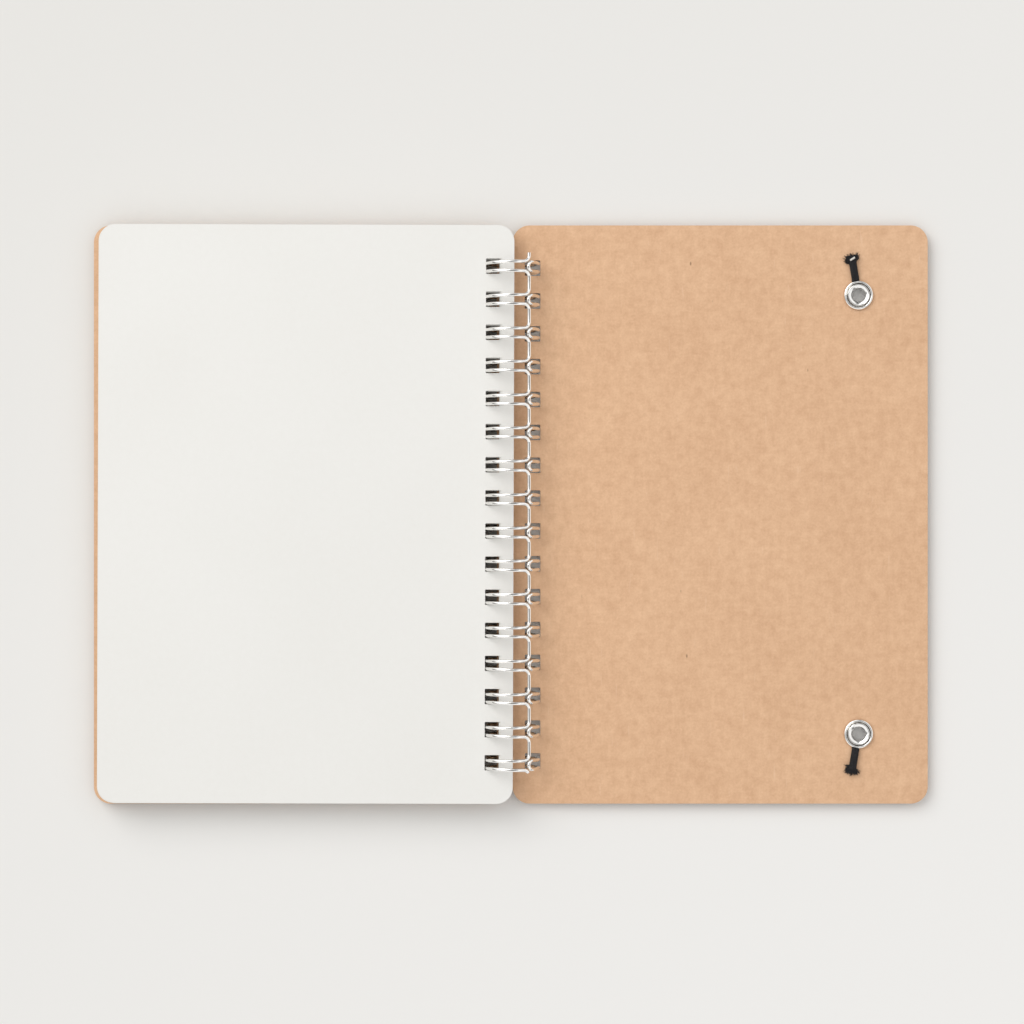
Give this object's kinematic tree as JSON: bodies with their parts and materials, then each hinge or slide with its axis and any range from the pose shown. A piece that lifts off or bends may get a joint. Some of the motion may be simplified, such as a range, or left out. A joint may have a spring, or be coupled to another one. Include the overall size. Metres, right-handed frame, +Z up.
{
  "type": "wire-bound sketchbook",
  "caption": "Pocket sketchbook lying open, with blank drawing paper, kraft board covers, a double-loop wire binding and a black elastic closure held in two eyelets.",
  "frame": {"origin": "on the table, under the axis of the rings, halfway along the spine (centre of the bounding box's base)", "axes": "+X towards the back cover's fore edge with the book lying open, +Y along the spine to the head, +Z up"},
  "size_m": [0.2144, 0.149, 0.0143],
  "materials": {
    "kraft_board": "matte uncoated kraft board with fine fibres",
    "drawing_paper": "matte uncoated white drawing paper",
    "nickel_wire": "bright nickel plating",
    "nickel_eyelet": "bright nickel plating",
    "black_elastic": "braided black covering over rubber"
  },
  "bodies": {
    "front_board": {"front_cover": "kraft_board"},
    "binding": {"wire_binding": "nickel_wire"},
    "back_board": {"back_cover": "kraft_board", "eyelet_head": "nickel_eyelet", "eyelet_tail": "nickel_eyelet", "washer_head": "nickel_eyelet", "washer_tail": "nickel_eyelet", "elastic_closure": "black_elastic"},
    "section_1": {"sheet_01": "drawing_paper", "sheet_02": "drawing_paper", "sheet_03": "drawing_paper", "sheet_04": "drawing_paper", "sheet_05": "drawing_paper", "sheet_06": "drawing_paper", "sheet_07": "drawing_paper", "sheet_08": "drawing_paper", "sheet_09": "drawing_paper", "sheet_10": "drawing_paper", "sheet_11": "drawing_paper", "sheet_12": "drawing_paper", "sheet_13": "drawing_paper"},
    "section_2": {"sheet_14": "drawing_paper", "sheet_15": "drawing_paper", "sheet_16": "drawing_paper", "sheet_17": "drawing_paper", "sheet_18": "drawing_paper", "sheet_19": "drawing_paper", "sheet_20": "drawing_paper", "sheet_21": "drawing_paper", "sheet_22": "drawing_paper", "sheet_23": "drawing_paper", "sheet_24": "drawing_paper", "sheet_25": "drawing_paper", "sheet_26": "drawing_paper"},
    "section_3": {"sheet_27": "drawing_paper", "sheet_28": "drawing_paper", "sheet_29": "drawing_paper", "sheet_30": "drawing_paper", "sheet_31": "drawing_paper", "sheet_32": "drawing_paper", "sheet_33": "drawing_paper", "sheet_34": "drawing_paper", "sheet_35": "drawing_paper", "sheet_36": "drawing_paper", "sheet_37": "drawing_paper", "sheet_38": "drawing_paper", "sheet_39": "drawing_paper"},
    "last_sheet": {"sheet_40": "drawing_paper"}
  },
  "joints": [
    {"name": "back_cover_turn", "type": "hinge", "parent": "front_board", "child": "back_board", "pos_m": [0, 0, 0.00715], "axis": [0, 1, 0], "range_deg": [-180, 0]},
    {"name": "binding_roll", "type": "hinge", "parent": "front_board", "child": "binding", "pos_m": [0, 0, 0.00715], "axis": [0, 1, 0], "range_deg": [-103, 0]},
    {"name": "section_1_turn", "type": "hinge", "parent": "front_board", "child": "section_1", "pos_m": [0, 0, 0.00715], "axis": [0, 1, 0], "range_deg": [0, 30]},
    {"name": "section_2_turn", "type": "hinge", "parent": "section_1", "child": "section_2", "pos_m": [0, 0, 0.00715], "axis": [0, 1, 0], "range_deg": [0, 30]},
    {"name": "section_3_turn", "type": "hinge", "parent": "section_2", "child": "section_3", "pos_m": [0, 0, 0.00715], "axis": [0, 1, 0], "range_deg": [0, 30]},
    {"name": "last_sheet_turn", "type": "hinge", "parent": "section_3", "child": "last_sheet", "pos_m": [0, 0, 0.00715], "axis": [0, 1, 0], "range_deg": [0, 90]}
  ],
  "couplings": [
    {"joint": "binding_roll", "follows": "back_cover_turn", "ratio": 0.57}
  ]
}
